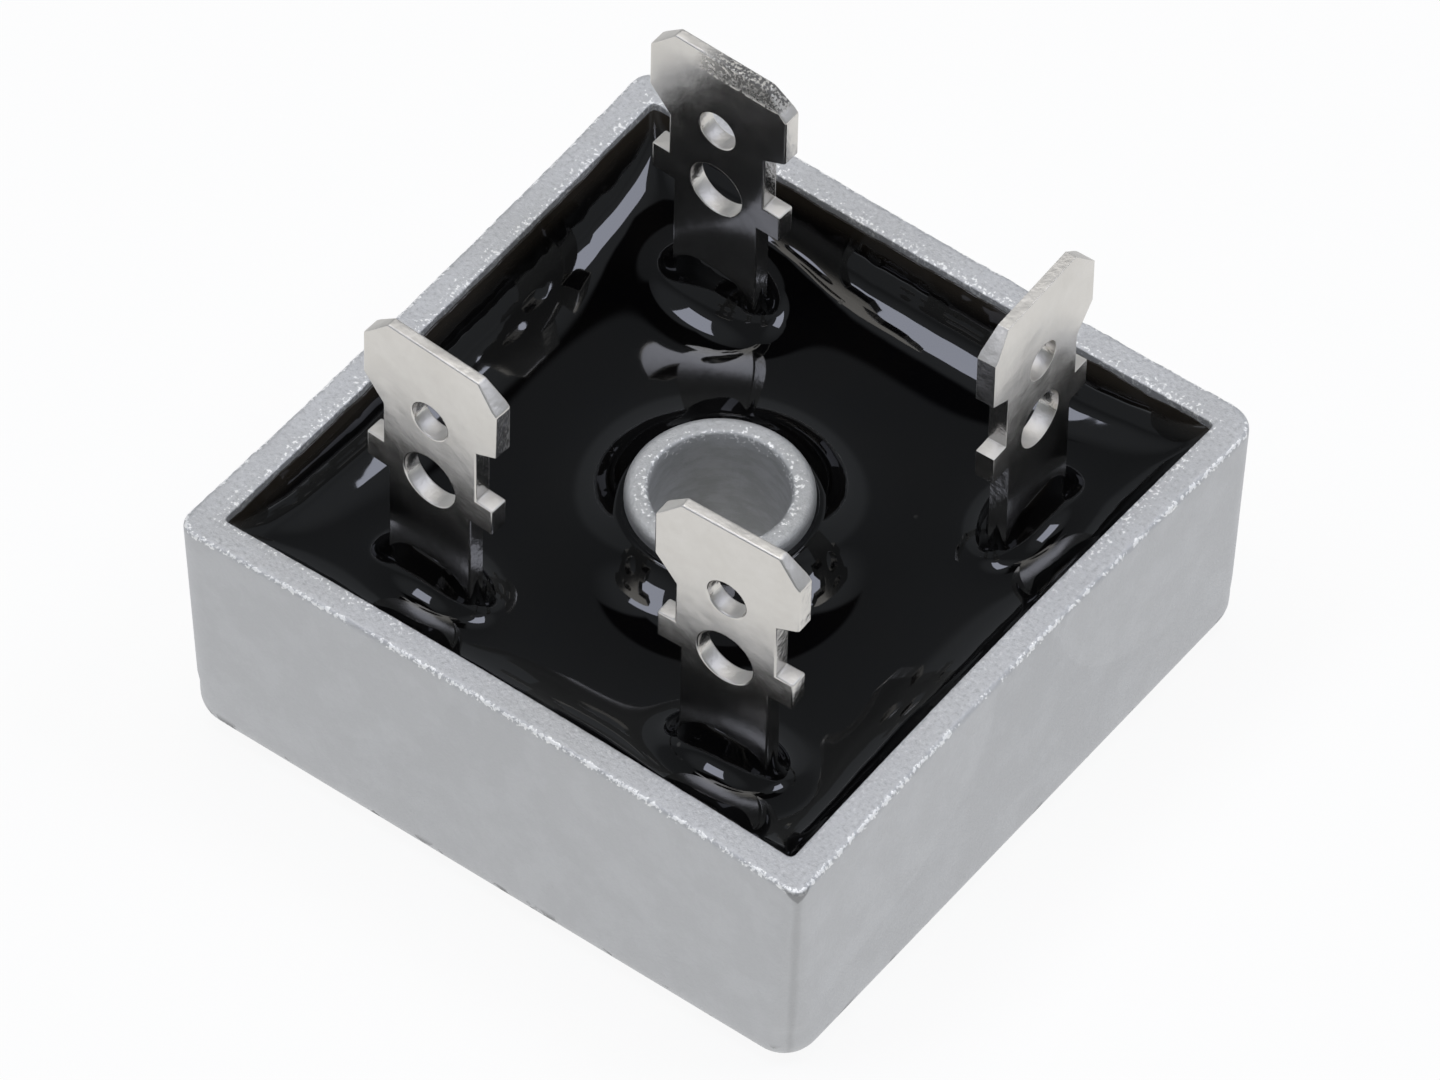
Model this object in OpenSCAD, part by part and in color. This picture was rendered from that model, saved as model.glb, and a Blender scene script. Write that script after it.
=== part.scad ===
// Square metal-cased bridge rectifier with four push-on blade terminals.
// Origin: the axis of the mounting hole, on the plane of the base. +Z is up, millimetres.
// The plus terminal stands at +X +Y and is turned a quarter; minus is diagonally across from it.

/* [Case] */
// Outside width of the square case at its open rim
case_w = 28.6; // [27.4:0.1:36]
// Height of the case from base to rim
case_h = 11; // [9:0.1:16]
// Thickness of the side walls
wall_t = 1.3; // [0.8:0.1:1.8]
// Thickness of the floor that carries the heat to the chassis
floor_t = 2; // [1.2:0.1:3]
// Lean of each side wall, in degrees, narrower at the base
wall_lean = 1.25; // [0:0.05:2]
// Radius of the upright corners at the base
corner_r = 1.2; // [1.2:0.05:3]
// Radius of the edge between base and sides
base_edge_r = 1.2; // [0.4:0.05:1.2]
// Rounding of the outer edge of the rim
rim_edge_r = 0.25; // [0.1:0.05:0.5]
// Radius of the upright corners inside the case
cavity_corner_r = 0.2; // [0.2:0.05:1.2]

/* [Mounting hole] */
// Diameter of the screw hole through the boss
hole_d = 5.3; // [4.3:0.1:5.8]
// Outside diameter of the boss round the hole
boss_d = 7.1; // [6.8:0.1:8]
// Drop from the rim of the case to the top of the boss
boss_drop = 0.9; // [0.3:0.1:1.5]
// Rounding of the boss's outer top edge
boss_edge_r = 0.35; // [0.1:0.05:0.5]
// Edge break at both ends of the hole
hole_break = 0.1; // [0.05:0.05:0.3]

/* [Potting] */
// Depth of the resin's flat surface below the rim
resin_drop = 2.8; // [2.6:0.1:3.4]
// How far the resin creeps up the case walls
wall_creep = 2.45; // [1:0.05:2.55]
// How far the resin creeps up the boss
boss_creep = 1.4; // [0.5:0.05:1.5]
// How far the resin creeps up each terminal leg
leg_creep = 1.85; // [0.5:0.05:1.95]

/* [Blade terminals] */
// Width of the push-on blade
blade_w = 6.35; // [4.8:0.05:6.4]
// Thickness of the terminal strip
blade_t = 0.8; // [0.5:0.05:1]
// Height of the blade tips above the rim
blade_rise = 10.2; // [9:0.1:15]
// Size of the cut corners at the tip
tip_cut = 1.02; // [0.4:0.02:1.4]
// Height of the coined lead-in along the tip
lead_in_h = 0.85; // [0.4:0.05:1.2]
// Depth of the coined lead-in on each face
lead_in_d = 0.17; // [0.05:0.01:0.2]
// Diameter of the detent hole
detent_d = 1.65; // [1.2:0.05:2]
// Distance of the detent hole below the tip
detent_at = 3.6; // [3.2:0.05:3.9]
// Diameter of the wire hole
wire_hole_d = 2.4; // [1.6:0.05:2.8]
// Distance of the wire hole below the tip
wire_hole_at = 6.85; // [6.4:0.05:7.2]
// Width of the neck between blade and stop
neck_w = 4.45; // [3.9:0.05:4.8]
// Width of the stop that ends the push-on length
stop_w = 6; // [5.2:0.05:6.35]
// Distance of the stop below the tip
stop_at = 6.33; // [5.8:0.01:7]
// Height of the stop
stop_h = 1.32; // [0.8:0.02:2]
// Width of the leg below the stop
leg_w = 3.9; // [3:0.05:4.4]
// Inside radius of the bend between leg and foot
bend_r = 0.4; // [0.2:0.05:0.8]

/* [Terminal places] */
// Half the spacing of the upright blades along X
pitch_x = 6.75; // [6.4:0.05:7.2]
// Half the spacing of the upright blades along Y
pitch_y = 8.8; // [8.4:0.05:9]
// Distance of the quarter-turned plus blade from the hole's axis, along X
plus_x = 8.95; // [8.4:0.05:9.2]
// Distance of the plus blade's centre line from the hole's axis, along Y
plus_y = 6.85; // [6.4:0.05:7.2]
// Stray of the plus blade from its place, along X and Y
plus_stray = [0, 0]; // [-0.4:0.01:0.4]
// Stray of the minus blade
minus_stray = [0.32, 0.08]; // [-0.4:0.01:0.4]
// Stray of the first AC blade
ac_1_stray = [0.03, 0.1]; // [-0.4:0.01:0.4]
// Stray of the second AC blade
ac_2_stray = [0.31, -0.04]; // [-0.4:0.01:0.4]
// Stray turn of the plus blade, in degrees
plus_turn = 1.8; // [-4:0.1:4]
// Stray turn of the minus blade
minus_turn = -3.1; // [-4:0.1:4]
// Stray turn of the first AC blade
ac_1_turn = -1.3; // [-4:0.1:4]
// Stray turn of the second AC blade
ac_2_turn = 1.8; // [-4:0.1:4]

/* [Diode stack] */
// Side of the square silicon chips
chip_w = 5; // [3:0.1:5.5]
// Thickness of the chips
chip_t = 0.35; // [0.2:0.05:0.5]
// Thickness of each solder layer
solder_t = 0.12; // [0.05:0.01:0.2]
// Thickness of the copper plates
plate_t = 0.8; // [0.5:0.05:1]
// Margin of copper plate left on each side of a chip
plate_margin = 0.4; // [0.1:0.05:1]
// Thickness of the insulating plate
insulator_t = 0.64; // [0.38:0.02:1]

/* [Hidden] */
$fn = 64;

// The case
half_w = case_w / 2;
lean = tan(wall_lean);
cavity_half = half_w - wall_t;
boss_r = boss_d / 2;
boss_top = case_h - boss_drop;
resin_level = case_h - resin_drop;
boss_rise = min(boss_creep, boss_top - boss_edge_r - resin_level);   // it ends on the upright side
past = 1;                        // how far a cutter reaches past what it cuts

// The stack of pieces on the floor, from below
insulator_gap = 0.4;             // clear space round the insulating plate
lower_z = floor_t + insulator_t;
chip_z = lower_z + plate_t + solder_t;
upper_z = chip_z + chip_t + solder_t;
ring_at = pitch_y;               // centre line of the plates' arms, from the hole's axis
plate_w = chip_w + 2 * plate_margin;
plate_out = ring_at + plate_w / 2;
plate_in = ring_at - plate_w / 2;
arm_end = chip_w / 2 + 0.5;      // the arms run on past the chips by this margin
foot_margin = 0.15;              // the foot stops short of the plate's inner edge

// The terminals, in the order plus, minus, first AC, second AC
PLUS = 0;
MINUS = 1;
AC_1 = 2;
AC_2 = 3;
place = [[plus_x, plus_y], [-pitch_x, -pitch_y], [-pitch_x, pitch_y], [pitch_x, -pitch_y]];
stray = [plus_stray, minus_stray, ac_1_stray, ac_2_stray];
turn = [plus_turn - 90, minus_turn, ac_1_turn, ac_2_turn];
blade_top = case_h + blade_rise;
foot_side = [-1, 1, -1, 1];      // the face towards which each foot is bent
foot_z = [lower_z, lower_z, upper_z, upper_z] + [1, 1, 1, 1] * (plate_t + solder_t);
foot_l = [for (t = [0 : 3]) (t == PLUS ? plus_x : pitch_y) - plate_in - foot_margin];

// Distance of a case face from the middle at height z
function face_at(z, half_at_rim = half_w) = half_at_rim - (case_h - z) * lean;

// Section of a wall face from an upright axis outward, between heights z0 and z1.
// It leans outward with height and has a rounded foot and a rounded rim.
module wall_section(r0, z0, z1, slope, foot_r, rim_r) {
    run = [1, -slope] / sqrt(1 + slope * slope);
    stretch = sqrt(1 + slope * slope);
    foot = [r0 + foot_r * slope - foot_r * stretch, z0 + foot_r];
    rim_z = z1 - rim_r;
    rim = [r0 + (rim_z - z0) * slope - rim_r * stretch, rim_z];
    difference() {
        polygon([[0, z0], [r0, z0], [r0 + (z1 - z0) * slope, z1], [0, z1]]);
        if (foot_r > 0) difference() {
            polygon([foot, [foot[0], z0 - past], [r0 + past, z0 - past], foot + (foot_r + past) * run]);
            translate(foot) circle(foot_r);
        }
        if (rim_r > 0) difference() {
            polygon([rim, rim + (rim_r + past) * run,
                [rim[0] + rim_r + past, z1 + past], [rim[0], z1 + past]]);
            translate(rim) circle(rim_r);
        }
    }
}

// Square block with rounded upright corners, leaning sides, a rounded foot and a rounded rim:
// two crossed slabs and four revolved corners, keyed together by a square core in each corner
module soft_block(half_low, r_low, z0, z1, slope, foot_r, rim_r) {
    flat = half_low - r_low;
    core = r_low / 2;
    for (turn = [0, 90]) rotate([90, 0, turn]) linear_extrude(2 * flat, center = true) {
        translate([-flat, z0]) square([2 * flat, z1 - z0]);
        for (side = [0, 1]) mirror([side, 0])
            translate([flat, 0]) wall_section(r_low, z0, z1, slope, foot_r, rim_r);
    }
    for (turn = [0 : 90 : 270]) rotate(turn) translate([flat, flat]) {
        rotate_extrude(angle = 90) wall_section(r_low, z0, z1, slope, foot_r, rim_r);
        translate([-core, -core, z0 + foot_r]) cube([2 * core, 2 * core, z1 - z0 - foot_r - rim_r]);
    }
}

// Hollow corner between a floor and an upright wall at x = 0, sunk into the floor by some depth
module creep_section(size, sunk = 0) {
    difference() {
        translate([0, -sunk]) square([size, size + sunk]);
        translate([size, size]) circle(size);
    }
}

// The open space inside the case, up to height z1
module cavity(z1) {
    soft_block(face_at(floor_t, cavity_half), cavity_corner_r, floor_t, z1, lean, 0, 0);
}

// Aluminium can with the boss for the mounting screw standing in its middle
module case() {
    color([0.70, 0.71, 0.73]) difference() {
        union() {
            difference() {
                soft_block(face_at(0), corner_r, 0, case_h, lean, base_edge_r, rim_edge_r);
                cavity(case_h + past);
            }
            rotate_extrude() boss_section();
        }
        translate([0, 0, -past]) cylinder(d = hole_d, h = case_h + 2 * past);
        cylinder(r1 = hole_d / 2 + hole_break, r2 = hole_d / 2, h = hole_break);
        translate([0, 0, boss_top - hole_break])
            cylinder(r1 = hole_d / 2, r2 = hole_d / 2 + hole_break, h = hole_break);
    }
}

module boss_section() {
    translate([0, floor_t / 2]) square([boss_r - boss_edge_r, boss_top - floor_t / 2]);
    translate([0, floor_t / 2]) square([boss_r, boss_top - boss_edge_r - floor_t / 2]);
    translate([boss_r - boss_edge_r, boss_top - boss_edge_r]) circle(boss_edge_r);
}

// Ceramic sheet that keeps the plates off the case
module insulating_plate() {
    half = face_at(floor_t, cavity_half) - insulator_gap;
    color([0.93, 0.93, 0.90]) difference() {
        translate([-half, -half, floor_t]) cube([2 * half, 2 * half, insulator_t]);
        translate([0, 0, floor_t - past]) cylinder(r = boss_r + insulator_gap, h = insulator_t + 2 * past);
    }
}

// One L-shaped copper plate with its corner towards +X +Y, in the flat
module plate_outline() {
    corner_cut = 1.5;
    difference() {
        translate([-arm_end, -arm_end]) square(plate_out + arm_end);
        translate([-arm_end - past, -arm_end - past]) square(plate_in + arm_end + past);
        translate([plate_out, plate_out]) rotate(45)
            square([corner_cut * sqrt(2), 2 * plate_w], center = true);
    }
}

module plate(z, turn) {
    color([0.78, 0.50, 0.34]) translate([0, 0, z]) rotate(turn) linear_extrude(plate_t) plate_outline();
}

module plate_plus() { plate(lower_z, 0); }
module plate_minus() { plate(lower_z, 180); }
module plate_ac_1() { plate(upper_z, 90); }
module plate_ac_2() { plate(upper_z, 270); }

// A square layer over the middle of one side of the ring: n counts from +Y, clockwise
module side_square(n, z, w, t) {
    rotate(-90 * (n - 1)) translate([-w / 2, ring_at - w / 2, z]) cube([w, w, t]);
}

module chip(n) { color([0.30, 0.31, 0.36]) side_square(n, chip_z, chip_w, chip_t); }
module solder_under(n) { color([0.75, 0.76, 0.78]) side_square(n, chip_z - solder_t, chip_w, solder_t); }
module solder_over(n) { color([0.75, 0.76, 0.78]) side_square(n, chip_z + chip_t, chip_w, solder_t); }

// Stands a terminal in its place: local X is the width, local -Y its front face
module at_terminal(t) {
    translate([place[t][0] + stray[t][0], place[t][1] + stray[t][1], 0]) rotate(turn[t]) children();
}

// Outline of the blade, neck, stop and leg, measured down from the tip
module blade_outline(depth) {
    notch_from = 3.25;           // the square notch starts here at the edge
    notch_drop = 0.45;           // and lies this much lower at the neck
    slope_from = 3.15;           // the sloping shoulder starts here on the other edge
    slope_drop = 1.1;
    half = blade_w / 2;
    neck = neck_w / 2;
    stop = stop_w / 2;
    leg = leg_w / 2;
    polygon([[-half + tip_cut, 0], [half - tip_cut, 0], [half, -tip_cut], [half, -notch_from],
        [neck, -notch_from - notch_drop], [neck, -stop_at], [stop, -stop_at], [stop, -stop_at - stop_h],
        [leg, -stop_at - stop_h], [leg, -depth], [-leg, -depth], [-leg, -stop_at - stop_h],
        [-stop, -stop_at - stop_h], [-stop, -stop_at], [-neck, -stop_at],
        [-neck, -slope_from - slope_drop], [-half, -slope_from], [-half, -tip_cut]]);
}

// Section of the bend and the foot, with the foot running towards +x at height 0
module foot_section(length) {
    outer = bend_r + blade_t;
    difference() {
        translate([-blade_t / 2, 0]) square([outer, outer]);
        translate([-blade_t / 2 + outer, outer]) circle(bend_r);
        difference() {
            translate([-blade_t / 2 - past, -past]) square([outer + past, outer + past]);
            translate([-blade_t / 2 + outer, outer]) circle(outer);
        }
    }
    translate([-blade_t / 2 + outer, 0]) square([length + blade_t / 2 - outer, blade_t]);
}

// Stamped and bent terminal: blade with its holes and lead-in, leg, bend and foot
module terminal(t) {
    depth = blade_top - foot_z[t] - bend_r - blade_t;
    color([0.74, 0.73, 0.71]) at_terminal(t) {
        translate([0, 0, blade_top]) difference() {
            rotate([90, 0, 0]) linear_extrude(blade_t, center = true) blade_outline(depth);
            for (face = [-1, 1]) rotate([90, 0, 90])
                linear_extrude(blade_w + 2 * past, center = true)
                polygon([[face * (blade_t / 2 - lead_in_d), past], [face * (blade_t / 2 + past), past],
                    [face * (blade_t / 2 + past), -lead_in_h], [face * blade_t / 2, -lead_in_h],
                    [face * (blade_t / 2 - lead_in_d), 0]]);
            for (hole = [[detent_d, detent_at], [wire_hole_d, wire_hole_at]])
                translate([0, 0, -hole[1]]) rotate([90, 0, 0])
                cylinder(d = hole[0], h = blade_t + 2 * past, center = true);
        }
        translate([0, 0, foot_z[t]]) rotate([90, 0, 90]) linear_extrude(leg_w, center = true)
            mirror([foot_side[t] < 0 ? 1 : 0, 0]) foot_section(foot_l[t]);
    }
}

// Solder between a terminal's foot and its plate
module solder_foot(t) {
    from = bend_r + blade_t / 2;
    color([0.75, 0.76, 0.78]) at_terminal(t) rotate(foot_side[t] > 0 ? 0 : 180)
        translate([-leg_w / 2, from, foot_z[t] - solder_t]) cube([leg_w, foot_l[t] - from, solder_t]);
}

// The resin drawn up round a terminal's leg
module leg_collar(t) {
    sides = [leg_w / 2, blade_t / 2];
    at_terminal(t) translate([0, 0, resin_level]) for (k = [0 : 3]) rotate(90 * k) {
        a = sides[k % 2];
        b = sides[(k + 1) % 2];
        translate([a, 0, 0]) rotate([90, 0, 0]) linear_extrude(2 * b, center = true)
            creep_section(leg_creep, past);
        translate([a, b, 0]) rotate_extrude(angle = 90) creep_section(leg_creep, past);
    }
}

// Everything that the resin surrounds
module buried_pieces() {
    insulating_plate();
    for (t = [0 : 3]) {
        terminal(t);
        solder_foot(t);
    }
    plate_plus();
    plate_minus();
    plate_ac_1();
    plate_ac_2();
    for (n = [1 : 4]) side_square(n, chip_z - solder_t, chip_w, chip_t + 2 * solder_t);
}

// Black resin that fills the case, with its surface drawn up at the walls, the boss and the legs
module potting() {
    feather = 0.03;              // thickness left where the resin runs out on a wall
    brim = resin_level + wall_creep;
    bath_half = face_at(brim, cavity_half) - feather;
    color([0.07, 0.07, 0.08]) difference() {
        union() {
            difference() {
                cavity(brim);
                soft_block(bath_half, wall_creep + feather, resin_level, brim + past, 0, wall_creep, 0);
            }
            translate([0, 0, resin_level]) rotate_extrude()
                translate([boss_r, 0]) creep_section(boss_rise, past);
            for (t = [0 : 3]) leg_collar(t);
        }
        translate([0, 0, floor_t - past]) cylinder(r = boss_r, h = case_h + past);
        buried_pieces();
    }
}

case();
insulating_plate();
potting();
terminal(PLUS);  // terminal_plus
terminal(MINUS);  // terminal_minus
terminal(AC_1);  // terminal_ac_1
terminal(AC_2);  // terminal_ac_2
plate_plus();
plate_minus();
plate_ac_1();
plate_ac_2();
chip(1);  // chip_1
chip(2);  // chip_2
chip(3);  // chip_3
chip(4);  // chip_4
solder_under(1);  // solder_under_chip_1
solder_under(2);  // solder_under_chip_2
solder_under(3);  // solder_under_chip_3
solder_under(4);  // solder_under_chip_4
solder_over(1);  // solder_over_chip_1
solder_over(2);  // solder_over_chip_2
solder_over(3);  // solder_over_chip_3
solder_over(4);  // solder_over_chip_4
solder_foot(PLUS);  // solder_foot_plus
solder_foot(MINUS);  // solder_foot_minus
solder_foot(AC_1);  // solder_foot_ac_1
solder_foot(AC_2);  // solder_foot_ac_2
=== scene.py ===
import math

import bmesh
import bpy
from mathutils import Matrix, Vector, noise


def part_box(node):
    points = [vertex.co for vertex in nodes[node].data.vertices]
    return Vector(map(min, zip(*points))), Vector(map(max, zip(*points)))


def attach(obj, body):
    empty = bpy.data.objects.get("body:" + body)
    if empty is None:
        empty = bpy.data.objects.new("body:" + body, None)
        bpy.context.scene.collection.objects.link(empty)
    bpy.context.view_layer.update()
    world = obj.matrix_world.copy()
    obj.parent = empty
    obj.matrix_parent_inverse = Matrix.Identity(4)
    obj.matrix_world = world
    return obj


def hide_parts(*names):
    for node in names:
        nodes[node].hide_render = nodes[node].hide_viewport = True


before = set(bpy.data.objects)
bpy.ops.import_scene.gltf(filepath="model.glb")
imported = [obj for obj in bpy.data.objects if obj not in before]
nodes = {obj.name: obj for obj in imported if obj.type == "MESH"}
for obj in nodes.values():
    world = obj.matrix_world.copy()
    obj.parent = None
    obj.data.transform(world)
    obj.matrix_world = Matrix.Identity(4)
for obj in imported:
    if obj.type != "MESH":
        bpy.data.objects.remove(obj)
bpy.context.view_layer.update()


# ----------------------------------------------------------------------------------------------
# The case. One square can, pressed out of aluminium together with the boss for the mounting
# screw, then tumbled to a fine satin grain. The walls spring inwards a little between the
# corners, and the press leaves a torn burr along the outer edge of the rim, whose bright line is a
# painted highlight.
# ----------------------------------------------------------------------------------------------
MM = 0.001
CASE_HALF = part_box("case")[1].x / MM
CASE_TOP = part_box("case")[1].z / MM
WALL_LEAN = math.tan(math.radians(1.25))
WALL_THICK = 1.3
FLOOR_TOP = 2.0
CORNER_LOW = 1.5            # radius of the upright corners at the base
CORNER_HIGH = 0.9           # and at the rim
NEAR_CORNER_HIGH = 0.5      # the corner at +X -Y came out of the press sharper
RIGHT_CORNER_HIGH = 1.35    # and the one at +X +Y softer
CORNER_INSIDE = 0.2
BASE_ROUND = 1.4
RIM_ROUND = 0.25
RIM_INSET = 0.01            # keeps the rim's edge inside the full width
LIP_ROUND = 0.06
BORE_R = 2.65
BORE_BREAK = 0.1
BOSS_R = 3.55
BOSS_TOP = 10.1
BOSS_ROUND = 0.35
WALL_SPRING = {"front": 0.33, "right": 0.29, "back": 0.18, "left": 0.23}
CASE_STEPS = 720
ROUND_TO = 5.0              # up to this radius the spun section stays round,
SQUARE_FROM = 12.0          # and from here it is fully square
BURR_LINE = 0.07            # how far in from the outer edge the burr stands
BURR_HEIGHT = 0.07
BURR_WIDTH = 0.13
NO_BURR = 5.0               # the gap given to the boss, which has no burr
LIP_HEIGHT = 0.02
LIP_WIDTH = 0.2


def square_reach(angle, half, axis):
    """How far a rounded square of that half width reaches from the middle, at that angle."""
    c, s = abs(math.cos(angle)), abs(math.sin(angle))
    if c < s:
        c, s = s, c
    if half * s / c <= axis:
        return half / c
    radius = max(half - axis, 0.001)
    mid = axis * (c + s)
    return mid + math.sqrt(max(mid * mid - 2 * axis * axis + radius * radius, 0))


def lift_at(z):
    """Share of the full spring that the walls show at a height."""
    up = max(z, 0) / CASE_TOP
    return up * up * (1.6 - 0.6 * up)


def spring_in(x, y, z):
    """Where the sprung walls carry a point of the straight can, all in millimetres."""
    lift = lift_at(z)
    bow_x = WALL_SPRING["right"] if x > 0 else WALL_SPRING["left"]
    bow_y = WALL_SPRING["back"] if y > 0 else WALL_SPRING["front"]
    shift_x = bow_x * lift * min(abs(x) / CASE_HALF, 1) ** 4 * max(1 - (y / CASE_HALF) ** 2, 0)
    shift_y = bow_y * lift * min(abs(y) / CASE_HALF, 1) ** 4 * max(1 - (x / CASE_HALF) ** 2, 0)
    return x - math.copysign(shift_x, x), y - math.copysign(shift_y, y)


def arc(cx, cz, radius, start, end, steps):
    """Points of an arc in the plane of a section, between two angles in degrees."""
    turns = [math.radians(start + (end - start) * i / steps) for i in range(steps + 1)]
    return [(cx + radius * math.cos(t), cz + radius * math.sin(t)) for t in turns]


def run(a, b, steps):
    """Points on the straight line from a to b, without its ends."""
    return [(a[0] + (b[0] - a[0]) * i / steps, a[1] + (b[1] - a[1]) * i / steps)
            for i in range(1, steps)]


def outer_face(z):
    """Half width of the can outside, at a height."""
    return CASE_HALF - (CASE_TOP - z) * WALL_LEAN


def inner_face(z):
    """Half width of the can inside, at a height."""
    return CASE_HALF - WALL_THICK - (CASE_TOP - z) * WALL_LEAN


def chain(*parts):
    """One line of points out of arcs and corner points; a whole number divides the run it stands in."""
    line = []
    for part in parts:
        if isinstance(part, int):
            line.append(part)
            continue
        points = part if isinstance(part, list) else [part]
        if line and isinstance(line[-1], int):
            steps = line.pop()
            line += run(line[-1], points[0], steps)
        line += points
    return line


def corner_axis(u, z, angle):
    """Distance from the middle to the axis about which the corner is rounded, at that point."""
    high = CORNER_HIGH
    if abs(angle) < math.pi / 2:
        high = RIGHT_CORNER_HIGH if angle > 0 else NEAR_CORNER_HIGH
    if z < FLOOR_TOP - 0.01:
        return outer_face(0) - CORNER_LOW
    outer = outer_face(z) - CORNER_LOW - (high - CORNER_LOW) * z / CASE_TOP
    inner = inner_face(z) - CORNER_INSIDE
    across = (u - inner_face(z)) / WALL_THICK
    return inner + (outer - inner) * min(max(across, 0), 1)


case_line = chain(
    (BORE_R, BORE_BREAK), (BORE_R + BORE_BREAK, 0.0), 12,
    arc(outer_face(BASE_ROUND) - BASE_ROUND, BASE_ROUND, BASE_ROUND, -90, 0, 10), 16,
    arc(CASE_HALF - RIM_ROUND - RIM_INSET, CASE_TOP - RIM_ROUND, RIM_ROUND, 0, 90, 6), 6,
    arc(CASE_HALF - WALL_THICK + LIP_ROUND, CASE_TOP - LIP_ROUND, LIP_ROUND, 90, 180, 2), 12,
    (inner_face(FLOOR_TOP), FLOOR_TOP), 8,
    (BOSS_R, FLOOR_TOP), 10,
    arc(BOSS_R - BOSS_ROUND, BOSS_TOP - BOSS_ROUND, BOSS_ROUND, 0, 90, 6), 4,
    (BORE_R + BORE_BREAK, BOSS_TOP), (BORE_R, BOSS_TOP - BORE_BREAK), 14, (BORE_R, BORE_BREAK))[:-1]

case_mesh = bmesh.new()
ring = [case_mesh.verts.new((u, 0, z)) for u, z in case_line]
hoops = [case_mesh.edges.new((a, b)) for a, b in zip(ring, ring[1:] + ring[:1])]
bmesh.ops.spin(case_mesh, geom=ring + hoops, cent=(0, 0, 0), axis=(0, 0, 1), angle=2 * math.pi,
               steps=CASE_STEPS, use_merge=True, use_duplicate=False)
edge_gap = case_mesh.verts.layers.float.new("edge_gap")
lip_gap = case_mesh.verts.layers.float.new("lip_gap")
for v in case_mesh.verts:
    u, z = math.hypot(v.co.x, v.co.y), v.co.z
    angle = math.atan2(v.co.y, v.co.x)
    squared = min(max((u - ROUND_TO) / (SQUARE_FROM - ROUND_TO), 0), 1)
    reach = u + (square_reach(angle, u, corner_axis(u, z, angle)) - u) * squared
    x, y = spring_in(reach * math.cos(angle), reach * math.sin(angle), z)
    outer_gap = math.hypot(u - CASE_HALF + BURR_LINE, z - CASE_TOP + BURR_LINE)
    inner_gap = math.hypot(u - CASE_HALF + WALL_THICK, z - CASE_TOP)
    if u < ROUND_TO:
        outer_gap = NO_BURR
        inner_gap = math.hypot(u - BORE_R, z - BOSS_TOP)
    v[edge_gap] = outer_gap
    v[lip_gap] = inner_gap
    if z > BOSS_TOP - 0.5 and min(outer_gap, inner_gap) < 0.6:
        along = Vector((x, y, 0))
        crest = max(noise.fractal(along * 2.3, 0.8, 2.2, 4) + 0.25, 0)
        z += BURR_HEIGHT * crest * math.exp(-(outer_gap / BURR_WIDTH) ** 2)
        z += LIP_HEIGHT * noise.noise(along * 4) * math.exp(-(inner_gap / LIP_WIDTH) ** 2)
    v.co = Vector((x, y, z)) * MM
bmesh.ops.recalc_face_normals(case_mesh, faces=case_mesh.faces)


def finish_mesh(name, mesh, smooth=True):
    """Turns a finished bmesh into a smooth-shaded piece that stands where its mesh is."""
    data = bpy.data.meshes.new(name)
    mesh.to_mesh(data)
    mesh.free()
    for face in data.polygons:
        face.use_smooth = smooth
    piece = bpy.data.objects.new(name, data)
    bpy.context.scene.collection.objects.link(piece)
    return piece


case_shell = finish_mesh("case_shell", case_mesh)


def node_at(tree, kind, x, y, **settings):
    """Adds a shader node, placed on the sheet, with its plain settings and input values."""
    made = tree.nodes.new(kind)
    made.location = (x, y)
    for key, value in settings.items():
        if hasattr(made, key):
            setattr(made, key, value)
        else:
            made.inputs[key.replace("_", " ")].default_value = value
    return made


def new_finish(name):
    """A material with only its Principled shader and output, and the sheet to add nodes to."""
    finish = bpy.data.materials.new(name)
    finish.use_nodes = True
    tree = finish.node_tree
    tree.nodes.clear()
    out = node_at(tree, "ShaderNodeOutputMaterial", 900, 0)
    shader = node_at(tree, "ShaderNodeBsdfPrincipled", 600, 0)
    tree.links.new(shader.outputs["BSDF"], out.inputs["Surface"])
    return finish, tree, shader


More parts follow.
